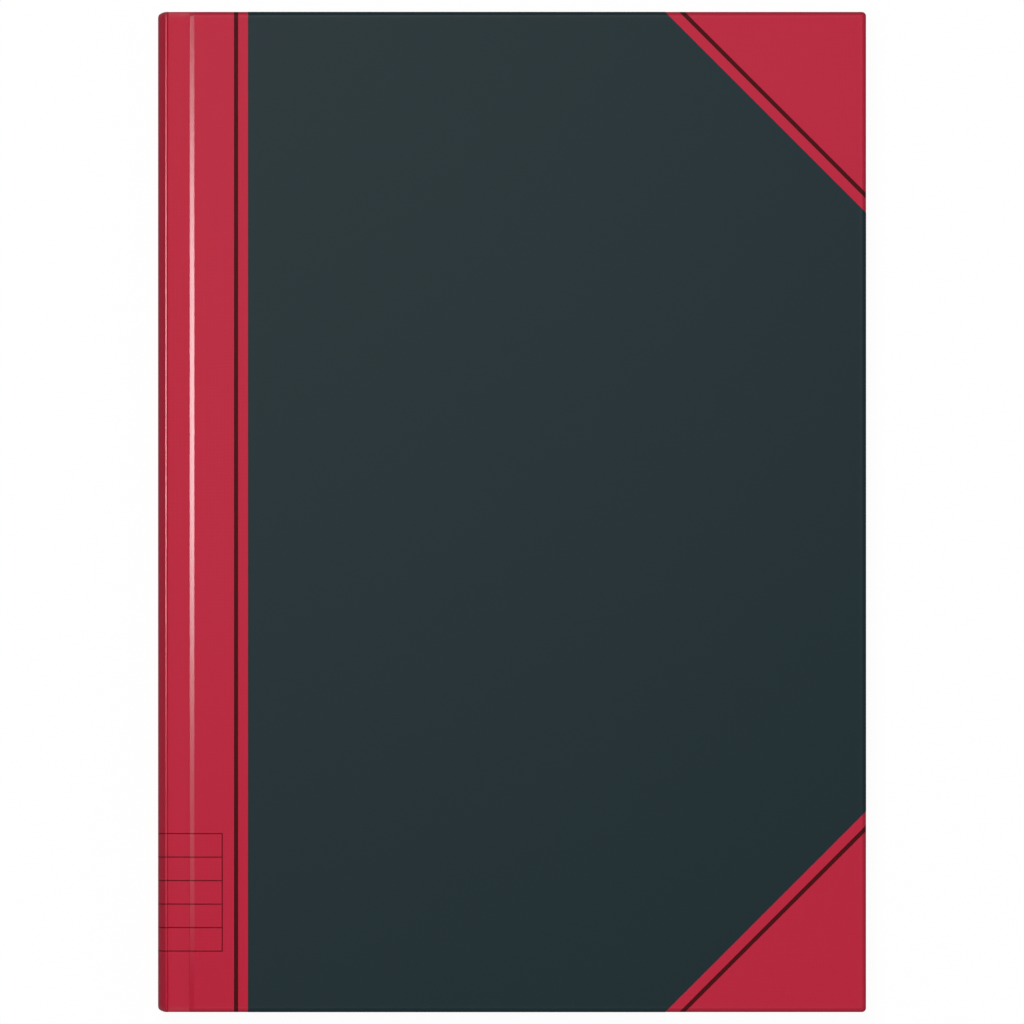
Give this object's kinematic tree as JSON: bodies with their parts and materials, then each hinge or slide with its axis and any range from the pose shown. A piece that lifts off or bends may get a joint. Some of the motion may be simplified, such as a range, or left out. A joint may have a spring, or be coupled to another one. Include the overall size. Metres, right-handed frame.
{
  "type": "hardcover notebook",
  "caption": "Half-bound hardcover notebook: black sides, red cloth spine and corners, sewn paper block, hollow rounded spine and hinged covers.",
  "frame": {"origin": "on the back cover's outer face, below the middle of the closed book", "axes": "+X towards the fore-edge, +Y towards the head, +Z from the back cover to the front cover"},
  "size_m": [0.2146, 0.303, 0.0152],
  "materials": {
    "red_cloth": "fine-weave book cloth, slight sheen",
    "black_siding": "matt cover paper",
    "board": "grey board",
    "endpaper": "uncoated",
    "page": "uncoated writing paper",
    "thread": "linen thread",
    "mull": "open gauze",
    "kraft": "kraft paper"
  },
  "bodies": {
    "back_cover": {"back_board": "board", "back_siding": "black_siding", "back_corner_head": "red_cloth", "back_corner_tail": "red_cloth", "back_spine_cloth": "red_cloth", "back_joint_cloth": "red_cloth", "back_pastedown": "endpaper", "mull": "mull", "spine_liner": "kraft"},
    "spine": {"spine_strip": "board", "spine_cloth": "red_cloth"},
    "front_cover": {"front_board": "board", "front_siding": "black_siding", "front_corner_head": "red_cloth", "front_corner_tail": "red_cloth", "front_spine_cloth": "red_cloth", "front_joint_cloth": "red_cloth", "front_pastedown": "endpaper"},
    "back_flyleaf": {"back_flyleaf": "endpaper"},
    "front_flyleaf": {"front_flyleaf": "endpaper"},
    "section_01": {"section_01": "page", "section_01_thread": "thread"},
    "section_02": {"section_02": "page", "section_02_thread": "thread"},
    "section_03": {"section_03": "page", "section_03_thread": "thread"},
    "section_04": {"section_04": "page", "section_04_thread": "thread"},
    "section_05": {"section_05": "page", "section_05_thread": "thread"},
    "section_06": {"section_06": "page", "section_06_thread": "thread"},
    "section_07": {"section_07": "page", "section_07_thread": "thread"},
    "section_08": {"section_08": "page", "section_08_thread": "thread"},
    "section_09": {"section_09": "page", "section_09_thread": "thread"},
    "section_10": {"section_10": "page", "section_10_thread": "thread"},
    "section_11": {"section_11": "page", "section_11_thread": "thread"},
    "section_12": {"section_12": "page", "section_12_thread": "thread"}
  },
  "joints": [
    {"name": "front_cover_hinge", "type": "hinge", "parent": "spine", "child": "front_cover", "pos_m": [-0.10374, 0, 0.01232], "axis": [0, -1, 0], "range_deg": [0, 90], "deforming": ["front_joint_cloth", "mull", "spine_liner"]},
    {"name": "spine_hinge", "type": "hinge", "parent": "back_cover", "child": "spine", "pos_m": [-0.10374, 0, 0.00285], "axis": [0, -1, 0], "range_deg": [0, 99], "deforming": ["back_joint_cloth"]},
    {"name": "section_12_hinge", "type": "hinge", "parent": "back_cover", "child": "section_12", "pos_m": [-0.10374, 0, 0.00284], "axis": [0, -1, 0], "range_deg": [0, 1.32]},
    {"name": "section_11_hinge", "type": "hinge", "parent": "section_12", "child": "section_11", "pos_m": [-0.10374, 0, 0.00364], "axis": [0, -1, 0], "range_deg": [0, 1.65]},
    {"name": "section_10_hinge", "type": "hinge", "parent": "section_11", "child": "section_10", "pos_m": [-0.10374, 0, 0.00443], "axis": [0, -1, 0], "range_deg": [0, 1.98]},
    {"name": "section_09_hinge", "type": "hinge", "parent": "section_10", "child": "section_09", "pos_m": [-0.10374, 0, 0.00522], "axis": [0, -1, 0], "range_deg": [0, 2.31]},
    {"name": "section_08_hinge", "type": "hinge", "parent": "section_09", "child": "section_08", "pos_m": [-0.10374, 0, 0.006], "axis": [0, -1, 0], "range_deg": [0, 2.64]},
    {"name": "section_07_hinge", "type": "hinge", "parent": "section_08", "child": "section_07", "pos_m": [-0.10374, 0, 0.00679], "axis": [0, -1, 0], "range_deg": [0, 3.3]},
    {"name": "section_06_hinge", "type": "hinge", "parent": "section_07", "child": "section_06", "pos_m": [-0.10374, 0, 0.00758], "axis": [0, -1, 0], "range_deg": [0, 171.6]},
    {"name": "section_05_hinge", "type": "hinge", "parent": "section_06", "child": "section_05", "pos_m": [-0.10374, 0, 0.00838], "axis": [0, -1, 0], "range_deg": [0, 3.3]},
    {"name": "section_04_hinge", "type": "hinge", "parent": "section_05", "child": "section_04", "pos_m": [-0.10374, 0, 0.00916], "axis": [0, -1, 0], "range_deg": [0, 2.64]},
    {"name": "section_03_hinge", "type": "hinge", "parent": "section_04", "child": "section_03", "pos_m": [-0.10374, 0, 0.00996], "axis": [0, -1, 0], "range_deg": [0, 2.31]},
    {"name": "section_02_hinge", "type": "hinge", "parent": "section_03", "child": "section_02", "pos_m": [-0.10374, 0, 0.01074], "axis": [0, -1, 0], "range_deg": [0, 1.98]},
    {"name": "section_01_hinge", "type": "hinge", "parent": "section_02", "child": "section_01", "pos_m": [-0.10374, 0, 0.01154], "axis": [0, -1, 0], "range_deg": [0, 1.65]},
    {"name": "back_flyleaf_hinge", "type": "hinge", "parent": "back_cover", "child": "back_flyleaf", "pos_m": [-0.10294, 0, 0.00268], "axis": [0, -1, 0], "range_deg": [0, 0.55]},
    {"name": "front_flyleaf_hinge", "type": "hinge", "parent": "front_cover", "child": "front_flyleaf", "pos_m": [-0.10294, 0, 0.01249], "axis": [0, 1, 0], "range_deg": [0, 0.55]}
  ],
  "couplings": [
    {"joint": "spine_hinge", "follows": "front_cover_hinge", "ratio": 1},
    {"joint": "section_12_hinge", "follows": "front_cover_hinge", "ratio": 0.013333},
    {"joint": "section_11_hinge", "follows": "front_cover_hinge", "ratio": 0.016667},
    {"joint": "section_10_hinge", "follows": "front_cover_hinge", "ratio": 0.02},
    {"joint": "section_09_hinge", "follows": "front_cover_hinge", "ratio": 0.023333},
    {"joint": "section_08_hinge", "follows": "front_cover_hinge", "ratio": 0.026667},
    {"joint": "section_07_hinge", "follows": "front_cover_hinge", "ratio": 0.033333},
    {"joint": "section_06_hinge", "follows": "front_cover_hinge", "ratio": 1.7333},
    {"joint": "section_05_hinge", "follows": "front_cover_hinge", "ratio": 0.033333},
    {"joint": "section_04_hinge", "follows": "front_cover_hinge", "ratio": 0.026667},
    {"joint": "section_03_hinge", "follows": "front_cover_hinge", "ratio": 0.023333},
    {"joint": "section_02_hinge", "follows": "front_cover_hinge", "ratio": 0.02},
    {"joint": "section_01_hinge", "follows": "front_cover_hinge", "ratio": 0.016667},
    {"joint": "back_flyleaf_hinge", "follows": "front_cover_hinge", "ratio": 0.005556},
    {"joint": "front_flyleaf_hinge", "follows": "front_cover_hinge", "ratio": 0.005556}
  ]
}
